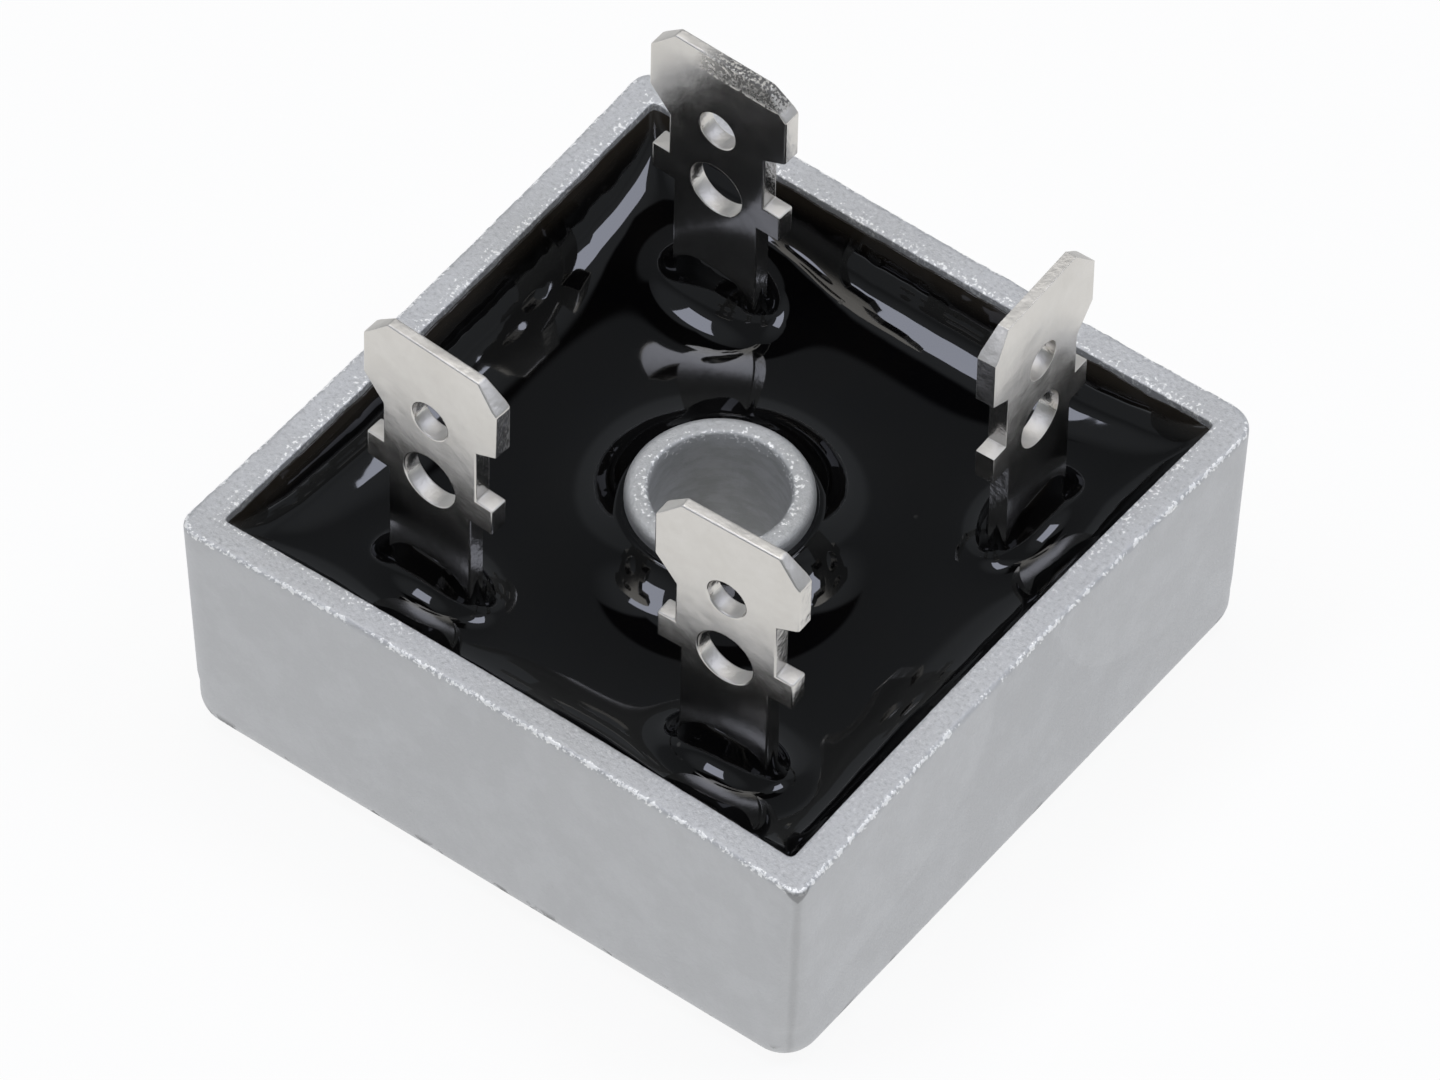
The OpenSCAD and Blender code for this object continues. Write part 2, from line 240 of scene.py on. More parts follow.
def metal_grain_group():
    """Tumbled or plated metal: tone, roughness and height from grain, blotches and dark specks."""
    group = bpy.data.node_groups.new("metal_grain", "ShaderNodeTree")
    for label, kind, value in (
            ("Color", "NodeSocketColor", (0.6, 0.6, 0.6, 1)),
            ("Dark Color", "NodeSocketColor", (0.3, 0.3, 0.3, 1)),
            ("Roughness", "NodeSocketFloat", 0.4), ("Roughness Range", "NodeSocketFloat", 0.1),
            ("Grain Size", "NodeSocketFloat", 0.2), ("Blotches", "NodeSocketFloat", 0.3),
            ("Specks", "NodeSocketFloat", 0.2)):
        socket = group.interface.new_socket(label, in_out="INPUT", socket_type=kind)
        socket.default_value = value
    for label, kind in (("Color", "NodeSocketColor"), ("Roughness", "NodeSocketFloat"),
                        ("Height", "NodeSocketFloat")):
        group.interface.new_socket(label, in_out="OUTPUT", socket_type=kind)
    ins = node_at(group, "NodeGroupInput", -1200, 0)
    outs = node_at(group, "NodeGroupOutput", 700, 0)
    place = node_at(group, "ShaderNodeTexCoord", -1200, -300)
    in_mm = node_at(group, "ShaderNodeVectorMath", -1000, -300, operation="SCALE", Scale=1000.0)
    group.links.new(place.outputs["Object"], in_mm.inputs[0])
    per_mm = node_at(group, "ShaderNodeMath", -1000, -100, operation="DIVIDE")
    per_mm.inputs[0].default_value = 1.0
    group.links.new(ins.outputs["Grain Size"], per_mm.inputs[1])
    grain = node_at(group, "ShaderNodeTexNoise", -700, 200, Detail=4.0, Roughness=0.62)
    group.links.new(in_mm.outputs[0], grain.inputs["Vector"])
    group.links.new(per_mm.outputs[0], grain.inputs["Scale"])
    blotch = node_at(group, "ShaderNodeTexNoise", -700, -100, Scale=0.55, Detail=5.0, Roughness=0.6)
    group.links.new(in_mm.outputs[0], blotch.inputs["Vector"])
    speck = node_at(group, "ShaderNodeTexVoronoi", -700, -400, Scale=1.35, Randomness=1.0)
    group.links.new(in_mm.outputs[0], speck.inputs["Vector"])
    speck_on = node_at(group, "ShaderNodeMapRange", -450, -400,
                       From_Min=0.05, From_Max=0.11, To_Min=1.0, To_Max=0.0)
    group.links.new(speck.outputs["Distance"], speck_on.inputs["Value"])
    speck_amount = node_at(group, "ShaderNodeMath", -250, -400, operation="MULTIPLY")
    group.links.new(speck_on.outputs[0], speck_amount.inputs[0])
    group.links.new(ins.outputs["Specks"], speck_amount.inputs[1])
    mixed = node_at(group, "ShaderNodeMix", -450, 50, data_type="FLOAT")
    group.links.new(ins.outputs["Blotches"], mixed.inputs[0])
    group.links.new(grain.outputs["Fac"], mixed.inputs[2])
    group.links.new(blotch.outputs["Fac"], mixed.inputs[3])
    spread = node_at(group, "ShaderNodeMapRange", -250, 50,
                     From_Min=0.32, From_Max=0.68, To_Min=0.0, To_Max=1.0)
    group.links.new(mixed.outputs[0], spread.inputs["Value"])
    tone = node_at(group, "ShaderNodeMix", 0, 200, data_type="RGBA")
    group.links.new(spread.outputs[0], tone.inputs[0])
    group.links.new(ins.outputs["Dark Color"], tone.inputs[6])
    group.links.new(ins.outputs["Color"], tone.inputs[7])
    dirty = node_at(group, "ShaderNodeMix", 200, 100, data_type="RGBA")
    dirty.inputs[7].default_value = (0.05, 0.05, 0.05, 1)
    group.links.new(speck_amount.outputs[0], dirty.inputs[0])
    group.links.new(tone.outputs[2], dirty.inputs[6])
    swing = node_at(group, "ShaderNodeMath", 0, -100, operation="MULTIPLY_ADD")
    group.links.new(spread.outputs[0], swing.inputs[0])
    group.links.new(ins.outputs["Roughness Range"], swing.inputs[1])
    group.links.new(ins.outputs["Roughness"], swing.inputs[2])
    group.links.new(dirty.outputs[2], outs.inputs["Color"])
    group.links.new(swing.outputs[0], outs.inputs["Roughness"])
    group.links.new(grain.outputs["Fac"], outs.inputs["Height"])
    return group


METAL_GRAIN = metal_grain_group()


def grained_metal(name, color, dark, roughness, rough_range, grain_size, blotches, specks, bump):
    """A metal finish made with the grain group; returns the material, its sheet and main nodes."""
    finish, tree, shader = new_finish(name)
    shader.inputs["Metallic"].default_value = 1.0
    grain = node_at(tree, "ShaderNodeGroup", 0, 0, node_tree=METAL_GRAIN)
    for label, value in (("Color", color + (1,)), ("Dark Color", dark + (1,)), ("Roughness", roughness),
                         ("Roughness Range", rough_range), ("Grain Size", grain_size),
                         ("Blotches", blotches), ("Specks", specks)):
        grain.inputs[label].default_value = value
    bumped = node_at(tree, "ShaderNodeBump", 350, -300, Strength=bump, Distance=0.00005)
    tree.links.new(grain.outputs["Color"], shader.inputs["Base Color"])
    tree.links.new(grain.outputs["Roughness"], shader.inputs["Roughness"])
    tree.links.new(grain.outputs["Height"], bumped.inputs["Height"])
    tree.links.new(bumped.outputs["Normal"], shader.inputs["Normal"])
    return finish, tree, shader, grain, bumped


def step_up(tree, value, start, end, low, high, x, y):
    """A smooth step from low to high as the value goes from start to end."""
    rise = node_at(tree, "ShaderNodeMapRange", x, y, interpolation_type="SMOOTHSTEP",
                   From_Min=start, From_Max=end, To_Min=low, To_Max=high)
    tree.links.new(value, rise.inputs["Value"])
    return rise.outputs[0]


def combine(tree, kind, a, b, x, y):
    """Two values, or a value and a number, put through one sum."""
    both = node_at(tree, "ShaderNodeMath", x, y, operation=kind)
    tree.links.new(a, both.inputs[0])
    if isinstance(b, (int, float)):
        both.inputs[1].default_value = b
    else:
        tree.links.new(b, both.inputs[1])
    return both.outputs[0]


def cloud(tree, place, per_mm, detail, x, y):
    """Soft random noise of that many grains to the millimetre, about 0.5 on average."""
    puff = node_at(tree, "ShaderNodeTexNoise", x, y, Scale=per_mm / MM, Detail=detail, Roughness=0.6)
    tree.links.new(place.outputs["Object"], puff.inputs["Vector"])
    return puff.outputs["Fac"]


def lean(tree, vector, direction, x, y):
    """How far a point lies along a direction, or how far a face's normal leans that way."""
    dot = node_at(tree, "ShaderNodeVectorMath", x, y, operation="DOT_PRODUCT")
    dot.inputs[1].default_value = Vector(direction).normalized()
    tree.links.new(vector, dot.inputs[0])
    return dot.outputs["Value"]


def tint(tree, mask, under, color, x, y):
    """Lays a colour over another where the mask says."""
    mix = node_at(tree, "ShaderNodeMix", x, y, data_type="RGBA")
    mix.inputs[7].default_value = color + (1,)
    tree.links.new(mask, mix.inputs[0])
    tree.links.new(under, mix.inputs[6])
    return mix.outputs[2]


ALUMINIUM_LIGHT, ALUMINIUM_DARK = (0.655, 0.66, 0.668), (0.585, 0.59, 0.60)
DULL_GRAIN, PALE_GRAIN = (0.33, 0.335, 0.34), (0.86, 0.86, 0.86)
BOSS_DULL = (0.36, 0.365, 0.35)
# Painted highlight colour, for the burr's line and the sparkle on the inner edge
PAINTED_HIGHLIGHT = (0.97, 0.97, 0.96)
# Painted shade colour, for the near corner's crease and gouge and for the nicks
PAINTED_SHADE = (0.20, 0.20, 0.20)
UP = (0, 0, 1)
TO_NEAR_CORNER = (1, -1, 0)
ALONG_NEAR_CORNER = (1, 1, 0)
SOFT_EDGE = 0.03                    # mm over which the burr's painted highlight line fades out
# Where the marks begin and end on the can, in metres
LEFT_OF_NEAR = (0.0045, 0.0080)     # out towards the near corner, the painted sparkle thins out
BELOW_RIM = (0.0102, 0.0104)        # between the boss's face and the rim
BORE_WALL = (0.00276, 0.00270)
NEAR_CORNER = (0.0190, 0.0192)
CREASE_TOP = (0.0104, 0.0106)
CREASE_HALF = (-0.00008, 0.00014)
GOUGE_POINT = 0.01035               # its low end, from where it widens upwards
GOUGE_SLOPE = 0.9
GOUGE_TOP = (0.01088, 0.01098)
GOUGE_SIDE = (-0.0001, 0.00006)
NICK_TOP = (0.0008, 0.0014)

aluminium, tree, shader, grain, _ = grained_metal(
    "case_aluminium", ALUMINIUM_LIGHT, ALUMINIUM_DARK, 0.64, 0.14, 0.14, 0.5, 0.0, 0.7)
place = node_at(tree, "ShaderNodeTexCoord", -1500, 500)
spot = place.outputs["Object"]
facing = node_at(tree, "ShaderNodeNewGeometry", -1500, 1300).outputs["Normal"]
edge = node_at(tree, "ShaderNodeAttribute", -1300, 900, attribute_name="edge_gap")
lip = node_at(tree, "ShaderNodeAttribute", -1300, 700, attribute_name="lip_gap")
fine = cloud(tree, place, 6.5, 5.0, -1300, 500)
broad = cloud(tree, place, 0.75, 3.0, -1300, 300)
grit = cloud(tree, place, 6.0, 4.0, -1300, 100)
height = lean(tree, spot, UP, -1300, -900)
outward = lean(tree, spot, TO_NEAR_CORNER, -1300, -700)
# The burr's bright line is a painted highlight, torn, whose width wanders and breaks
burr_highlight_width = combine(tree, "ADD", step_up(tree, fine, 0.35, 0.68, -0.08, 0.11, -1100, 500),
                     step_up(tree, broad, 0.36, 0.50, -0.08, 0.06, -1100, 300), -900, 400)
burr_highlight_inside = combine(tree, "SUBTRACT", burr_highlight_width, edge.outputs["Fac"], -700, 500)
burr_highlight = step_up(tree, burr_highlight_inside, -SOFT_EDGE, SOFT_EDGE, 0, 0.95, -500, 500)
# Painted sparkle, a highlight where the press sheared the inner edge, most of it away from the near
# corner
sparkle_width = combine(tree, "ADD", step_up(tree, grit, 0.47, 0.64, -0.36, 0.52, -1100, 0),
                      step_up(tree, broad, 0.42, 0.60, -0.14, 0.12, -1100, -200), -900, 0)
sparkle_inside = combine(tree, "SUBTRACT", sparkle_width, lip.outputs["Fac"], -700, 0)
painted_sparkle = step_up(tree, sparkle_inside, -SOFT_EDGE, 0.07, 0, 0.8, -500, 0)
sparkle_share = step_up(tree, outward, *LEFT_OF_NEAR, 1, 0.15, -500, -200)
painted_sparkle = combine(tree, "MULTIPLY", painted_sparkle, sparkle_share, -300, 0)
# Granular skin on what faces up, with pale and dull grains, and blotches on the walls
upward = step_up(tree, lean(tree, facing, UP, -1300, 1300), 0.75, 0.97, 0, 1, -1100, 1300)
pale = step_up(tree, grit, 0.52, 0.68, 0, 0.25, -1100, 1100)
pale = combine(tree, "MULTIPLY", pale, upward, -900, 1100)
dull = step_up(tree, grit, 0.49, 0.34, 0, 0.34, -1100, 1500)
dull = combine(tree, "MULTIPLY", dull, upward, -900, 1500)
blotch = cloud(tree, place, 0.55, 4.0, -1300, 1700)
blotch = step_up(tree, blotch, 0.40, 0.64, 0.09, 0, -1100, 1700)
dull = combine(tree, "MAXIMUM", dull, blotch, -700, 1500)
toned = tint(tree, dull, grain.outputs["Color"], DULL_GRAIN, -500, 1300)
toned = tint(tree, pale, toned, PALE_GRAIN, -300, 1100)
# The boss is a shade duller than the rim, and the bore's wall is streaked round and round
level_face = step_up(tree, lean(tree, facing, UP, -1300, 1900), 0.1, 0.6, 0, 0.30, -1100, 1900)
below_rim = step_up(tree, height, *BELOW_RIM, 1, 0, -1100, 2100)
on_boss = combine(tree, "MULTIPLY", level_face, below_rim, -900, 1900)
streak = node_at(tree, "ShaderNodeMapping", -1300, 2300)
streak.inputs["Scale"].default_value = (1.0, 1.0, 2.5)
tree.links.new(spot, streak.inputs["Vector"])
rings = node_at(tree, "ShaderNodeTexNoise", -1100, 2500, Scale=900.0, Detail=5.0, Roughness=0.65)
tree.links.new(streak.outputs["Vector"], rings.inputs["Vector"])
level_place = node_at(tree, "ShaderNodeVectorMath", -1300, 2700, operation="MULTIPLY")
level_place.inputs[1].default_value = (1.0, 1.0, 0.0)
tree.links.new(spot, level_place.inputs[0])
off_axis = node_at(tree, "ShaderNodeVectorMath", -1100, 2700, operation="LENGTH")
tree.links.new(level_place.outputs["Vector"], off_axis.inputs[0])
in_bore = step_up(tree, off_axis.outputs["Value"], *BORE_WALL, 0, 1, -900, 2700)
streaked = step_up(tree, rings.outputs["Fac"], 0.36, 0.66, 0.08, 0.42, -900, 2500)
streaked = combine(tree, "MULTIPLY", streaked, in_bore, -700, 2500)
boss_tone = combine(tree, "MAXIMUM", on_boss, streaked, -500, 1900)
toned = tint(tree, boss_tone, toned, BOSS_DULL, -200, 1900)
# Painted highlights: near white laid on the burr's line and on the sparkle
highlighted = tint(tree, combine(tree, "MAXIMUM", burr_highlight, painted_sparkle, -300, 300), toned, PAINTED_HIGHLIGHT, -100, 500)
# The near corner: painted shade for a crease down the edge, and for a small gouge under the rim
aside = lean(tree, spot, ALONG_NEAR_CORNER, -1300, -500)
aside = combine(tree, "ABSOLUTE", aside, 0, -1100, -500)
at_corner = step_up(tree, outward, *NEAR_CORNER, 0, 1, -1100, -700)
crease_stray = combine(tree, "MULTIPLY", broad, -0.0002, -900, -500)
crease_shade = combine(tree, "ADD", aside, crease_stray, -700, -500)
crease_shade = step_up(tree, crease_shade, *CREASE_HALF, 0.15, 0, -500, -500)
below_crease_top = step_up(tree, height, *CREASE_TOP, 1, 0, -500, -700)
crease_shade = combine(tree, "MULTIPLY", crease_shade, below_crease_top, -300, -500)
gouge_low = combine(tree, "MULTIPLY_ADD", height, -GOUGE_SLOPE, -900, -900)
gouge_low.node.inputs[2].default_value = GOUGE_SLOPE * GOUGE_POINT
gouge_shade = combine(tree, "ADD", aside, gouge_low, -700, -900)
gouge_shade = step_up(tree, gouge_shade, *GOUGE_SIDE, 1, 0, -500, -900)
below_gouge_top = step_up(tree, height, *GOUGE_TOP, 0.60, 0, -500, -1100)
gouge_shade = combine(tree, "MULTIPLY", gouge_shade, below_gouge_top, -300, -900)
corner_shade = combine(tree, "MAXIMUM", crease_shade, gouge_shade, -100, -700)
corner_shade = combine(tree, "MULTIPLY", corner_shade, at_corner, 0, -700)
# Painted shade for nicks along the rounded bottom edge, but none on the flat base
nick_shade = step_up(tree, cloud(tree, place, 1.1, 4.0, -1300, -1300), 0.57, 0.63, 0, 0.8, -1100, -1300)
near_base = step_up(tree, height, *NICK_TOP, 1, 0, -1100, -1500)
nick_shade = combine(tree, "MULTIPLY", nick_shade, near_base, -900, -1300)
outside = step_up(tree, lean(tree, facing, UP, -1300, -1700), -0.99, -0.93, 0, 1, -1100, -1700)
nick_shade = combine(tree, "MULTIPLY", nick_shade, outside, -700, -1300)
# Painted shade: dark grey laid on the corner's crease and gouge and on the nicks
painted_shade_marks = tint(tree, combine(tree, "MAXIMUM", corner_shade, nick_shade, 100, -700), highlighted, PAINTED_SHADE, 200, 500)
tree.links.new(painted_shade_marks, shader.inputs["Base Color"])
case_shell.data.materials.append(aluminium)
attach(case_shell, "root")
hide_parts("case")


# ----------------------------------------------------------------------------------------------
# The pieces on the floor of the can: a ceramic sheet, four copper plates with the silicon chips
# soldered between them, and the solder under the terminals' feet. The resin hides all of them.
# ----------------------------------------------------------------------------------------------
LEADS = ("plus", "minus", "ac_1", "ac_2")


def plain_finish(name, color, dark, roughness, grain_size, metallic):
    """A finish with an even grain and a few specks, for the pieces under the resin."""
    finish, _, shader, _, _ = grained_metal(
        name, color, dark, roughness, 0.12, grain_size, 0.5, 0.2, 0.3)
    shader.inputs["Metallic"].default_value = metallic
    return finish


ceramic = plain_finish("ceramic", (0.90, 0.89, 0.85), (0.82, 0.81, 0.77), 0.55, 0.08, 0.0)
copper = plain_finish("copper_plate", (0.80, 0.47, 0.33), (0.62, 0.33, 0.22), 0.30, 0.20, 1.0)
silicon = plain_finish("silicon", (0.17, 0.18, 0.22), (0.10, 0.11, 0.14), 0.18, 0.30, 0.0)
solder = plain_finish("solder", (0.72, 0.72, 0.74), (0.52, 0.52, 0.55), 0.28, 0.25, 1.0)


def dress(name, finish):
    """Gives a carried-over node its finish."""
    node = nodes[name]
    node.data.materials.clear()
    node.data.materials.append(finish)


dress("insulating_plate", ceramic)
for lead in LEADS:
    dress("plate_" + lead, copper)
    dress("solder_foot_" + lead, solder)
for number in "1234":
    dress("chip_" + number, silicon)
    dress("solder_under_chip_" + number, solder)
    dress("solder_over_chip_" + number, solder)


# ----------------------------------------------------------------------------------------------
# The terminals. Four push-on blades stamped out of brass strip, bent at the foot and tin plated.
# The edges are rolled by the punch, and the lead-in along each tip is coined, which roughens it.
# ----------------------------------------------------------------------------------------------
TIP_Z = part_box("terminal_plus")[1].z
COINED_FROM, COINED_FULL = TIP_Z - 0.00080, TIP_Z - 0.00058
PATCH_FROM, PATCH_FULL = -0.0080, -0.0062      # the pits leave the end at -X clean
TORN_DEPTH = 0.00005
PIT_DEPTH = 0.00004
WAVE_DEPTH = 0.00004
TIN_LIGHT, TIN_DARK = (0.665, 0.648, 0.62), (0.59, 0.572, 0.54)
PIT_DARK = (0.12, 0.12, 0.12)
EDGE_ROLL = 0.00009


def blade_wear_group():
    """What the press leaves on a blade: a slight lean, torn cut edges, and pits on the coined tip."""
    group = bpy.data.node_groups.new("blade_wear", "ShaderNodeTree")
    for label, kind, value in (("Facing", "NodeSocketVector", (0, 1, 0)),
                               ("Lean", "NodeSocketFloat", 0.05),
                               ("Pitting", "NodeSocketFloat", 0.0)):
        socket = group.interface.new_socket(label, in_out="INPUT", socket_type=kind)
        socket.default_value = value
    for label in ("Height", "Pits", "Roughness"):
        group.interface.new_socket(label, in_out="OUTPUT", socket_type="NodeSocketFloat")
    ins = node_at(group, "NodeGroupInput", -1500, 0)
    outs = node_at(group, "NodeGroupOutput", 300, 0)
    place = node_at(group, "ShaderNodeTexCoord", -1300, -500)
    height = lean(group, place.outputs["Object"], UP, -1100, -500)
    coined = step_up(group, height, COINED_FROM, COINED_FULL, 0, 1, -900, -500)
    pits = step_up(group, cloud(group, place, 7.5, 4.0, -1100, -800), 0.44, 0.54, 0, 1, -900, -800)
    along = lean(group, place.outputs["Object"], (1, 0, 0), -1100, -1000)
    patch = step_up(group, along, PATCH_FROM, PATCH_FULL, 0, 1, -900, -1000)
    pitted = combine(group, "MULTIPLY", pits, patch, -700, -900)
    pitted = combine(group, "MULTIPLY", pitted, coined, -500, -800)
    pitted = combine(group, "MULTIPLY", pitted, ins.outputs["Pitting"], -300, -700)
    # The cut edges are sheared for part of the way and torn for the rest
    normal = node_at(group, "ShaderNodeNewGeometry", -1300, 700)
    facing = node_at(group, "ShaderNodeVectorMath", -1100, 700, operation="DOT_PRODUCT")
    group.links.new(normal.outputs["Normal"], facing.inputs[0])
    group.links.new(ins.outputs["Facing"], facing.inputs[1])
    across = combine(group, "ABSOLUTE", facing.outputs["Value"], 0, -900, 700)
    cut_edge = step_up(group, across, 0.35, 0.65, TORN_DEPTH, 0, -700, 700)
    torn = cloud(group, place, 1.5, 3.0, -1100, -1200)
    torn = combine(group, "MULTIPLY", torn, cut_edge, -500, -1200)
    waves = cloud(group, place, 0.4, 2.0, -1100, -1400)
    waves = combine(group, "MULTIPLY", waves, WAVE_DEPTH, -900, -1400)
    relief = combine(group, "ADD", torn, waves, -300, -1200)
    pit_depth = combine(group, "MULTIPLY", pitted, PIT_DEPTH, -300, -900)
    relief = combine(group, "SUBTRACT", relief, pit_depth, -100, -1000)
    tilt = combine(group, "MULTIPLY", height, ins.outputs["Lean"], -700, -300)
    group.links.new(combine(group, "SUBTRACT", relief, tilt, 100, -600), outs.inputs["Height"])
    group.links.new(pitted, outs.inputs["Pits"])
    upward = lean(group, normal.outputs["Normal"], UP, -900, 400)
    rougher = combine(group, "ADD", step_up(group, upward, 0.35, 0.75, 0, 0.3, -700, 400),
                      combine(group, "MULTIPLY", pitted, 0.2, -100, 200), 100, 300)
    group.links.new(rougher, outs.inputs["Roughness"])
    return group


BLADE_WEAR = blade_wear_group()


def plated_finish(name, facing, lean_back, pitting):
    """Tin plating over a blade that faces one way; its coined tip may be pitted."""
    finish, tree, shader, grain, bumped = grained_metal(
        name, TIN_LIGHT, TIN_DARK, 0.20, 0.07, 0.35, 0.75, 0.0, 0.12)
    wear = node_at(tree, "ShaderNodeGroup", -100, -500, node_tree=BLADE_WEAR)
    for label, value in (("Facing", facing), ("Lean", lean_back), ("Pitting", pitting)):
        wear.inputs[label].default_value = value
    bend = node_at(tree, "ShaderNodeBump", 100, -600, Strength=1.0, Distance=1.0)
    tree.links.new(wear.outputs["Height"], bend.inputs["Height"])
    tree.links.new(bend.outputs["Normal"], bumped.inputs["Normal"])
    dull = tint(tree, combine(tree, "MULTIPLY", wear.outputs["Pits"], 0.8, 100, 300),
                grain.outputs["Color"], PIT_DARK, 300, 300)
    tree.links.new(dull, shader.inputs["Base Color"])
    rough = combine(tree, "ADD", grain.outputs["Roughness"], wear.outputs["Roughness"], 300, 100)
    tree.links.new(rough, shader.inputs["Roughness"])
    return finish


FINISHES = {"plus": plated_finish("plated_terminal_turned", (1, 0, 0), 0.05, 0.0),
            "minus": plated_finish("plated_terminal", (0, 1, 0), 0.05, 0.0),
            "ac_1": plated_finish("plated_terminal_pitted", (0, 1, 0), -0.005, 1.0)}
FINISHES["ac_2"] = FINISHES["minus"]
for lead in LEADS:
    dress("terminal_" + lead, FINISHES[lead])
    blade = nodes["terminal_" + lead]
    weld = blade.modifiers.new("weld", "WELD")
    weld.merge_threshold = 0.000002
    joined = blade.modifiers.new("flat", "DECIMATE")
    joined.decimate_type = "DISSOLVE"
    joined.angle_limit = math.radians(0.5)
    rolled = blade.modifiers.new("rolled_edges", "BEVEL")
    rolled.width = EDGE_ROLL
    rolled.segments = 3
    rolled.limit_method = "ANGLE"
    rolled.angle_limit = math.radians(30)
    rolled.harden_normals = False
    even = blade.modifiers.new("even_faces", "WEIGHTED_NORMAL")
    even.weight = 100
    for face in blade.data.polygons:
        face.use_smooth = True


# ----------------------------------------------------------------------------------------------
# The filling. Black casting resin, poured to below the rim and cured with a glossy skin. It is
# drawn up where it wets the walls, the boss and the terminals' legs.
# ----------------------------------------------------------------------------------------------
RESIN_LEVEL = 6.93
WALL_RISE, WALL_REACH = 2.31, 3.67      # height at a wall, and how slowly it falls away from it
BOSS_RISE, BOSS_REACH = 2.30, 2.627
LEG_RISE, LEG_REACH = 2.137, 0.763
DIP, DIP_AT, DIP_WIDTH = 0.036, 7.14, 1.62      # the shallow ring between the boss and the legs
WALL_SKIN = 0.49                        # the last steep climb to the contact line on the wall
BRIM, BRIM_WANDER = 10.67, 0.12         # height of that contact line, and how far it strays
LEG_HALF_WIDTH = 1.95
LEG_HALF_THICK = 0.4
LEG_FOCUS = math.sqrt(LEG_HALF_WIDTH ** 2 - LEG_HALF_THICK ** 2)
LEG_START = math.atanh(LEG_HALF_THICK / LEG_HALF_WIDTH)
# Where each leg stands and how far it is turned, in degrees: plus, minus and the two AC ones
LEGS = ((8.95, 6.85, 1.8 - 90), (-6.43, -8.72, -3.1), (-6.72, 8.90, -1.3), (7.06, -8.84, 1.8))
FINE_NET = 1.6                          # how far round a leg the surface gets the finer net
RESIN_STEPS = 480
RESIN_RINGS = 84


def wall_gaps(x, y):
    """Distances from a point to the inner faces of the walls: right, left, back and front."""
    bow_x = lift_at(BRIM) * max(1 - (y / CASE_HALF) ** 2, 0)
    bow_y = lift_at(BRIM) * max(1 - (x / CASE_HALF) ** 2, 0)
    half = inner_face(BRIM)
    return [max(half - bow_x * WALL_SPRING["right"] - x, 0),
            max(half - bow_x * WALL_SPRING["left"] + x, 0),
            max(half - bow_y * WALL_SPRING["back"] - y, 0),
            max(half - bow_y * WALL_SPRING["front"] + y, 0)]


def from_leg(x, y, lx, ly, turn):
    """Distance from a leg, counted over ellipses that share its two ends."""
    c, s = math.cos(math.radians(turn)), math.sin(math.radians(turn))
    across = (x - lx) * c + (y - ly) * s
    deep = -(x - lx) * s + (y - ly) * c
    to_ends = math.hypot(across - LEG_FOCUS, deep) + math.hypot(across + LEG_FOCUS, deep)
    return LEG_FOCUS * max(math.acosh(max(to_ends / 2 / LEG_FOCUS, 1)) - LEG_START, 0)


def resin_height(x, y, gaps):
    """Height of the liquid surface in which the resin set, without the last climb at the walls."""
    draw_x = math.exp(-gaps[0] / WALL_REACH) + math.exp(-gaps[1] / WALL_REACH)
    draw_y = math.exp(-gaps[2] / WALL_REACH) + math.exp(-gaps[3] / WALL_REACH)
    height = RESIN_LEVEL + WALL_RISE * math.hypot(draw_x, draw_y)
    r = max(math.hypot(x, y), BOSS_R)
    height += BOSS_RISE * math.exp(-(r - BOSS_R) / BOSS_REACH) * math.sqrt(BOSS_R / r)
    height -= DIP * math.exp(-((r - DIP_AT) / DIP_WIDTH) ** 2)
    for leg in LEGS:
        height += LEG_RISE * math.exp(-from_leg(x, y, *leg) / LEG_REACH)
    return height


def resin_point(x, y, wall_x, wall_y):
    """The surface's point over x and y; the resin climbs to the brim at the wall point."""
    gaps = wall_gaps(x, y)
    brim = BRIM + BRIM_WANDER * noise.fractal(Vector((wall_x, wall_y, 0)) * 0.55, 1.0, 2.0, 3)
    climb = brim - resin_height(wall_x, wall_y, wall_gaps(wall_x, wall_y))
    z = resin_height(x, y, gaps) + climb * math.exp(-min(gaps) / WALL_SKIN)
    return Vector((x, y, min(z, brim))) * MM


resin_mesh = bmesh.new()
spread = [math.sin(math.pi / 2 * (i / RESIN_RINGS) ** 0.9) for i in range(RESIN_RINGS + 1)]
ray = [resin_mesh.verts.new((1 + t, 0, 0)) for t in spread]
rods = [resin_mesh.edges.new((a, b)) for a, b in zip(ray, ray[1:])]
bmesh.ops.spin(resin_mesh, geom=ray + rods, cent=(0, 0, 0), axis=(0, 0, 1), angle=2 * math.pi,
               steps=RESIN_STEPS, use_merge=True, use_duplicate=False)
for v in resin_mesh.verts:
    t = math.hypot(v.co.x, v.co.y) - 1
    angle = math.atan2(v.co.y, v.co.x)
    wall = square_reach(angle, inner_face(BRIM), inner_face(BRIM) - CORNER_INSIDE)
    wall_x, wall_y = spring_in(wall * math.cos(angle), wall * math.sin(angle), BRIM)
    out = BOSS_R + (wall - BOSS_R) * t
    x, y = spring_in(out * math.cos(angle), out * math.sin(angle), BRIM)
    v.co = resin_point(x, y, wall_x, wall_y)
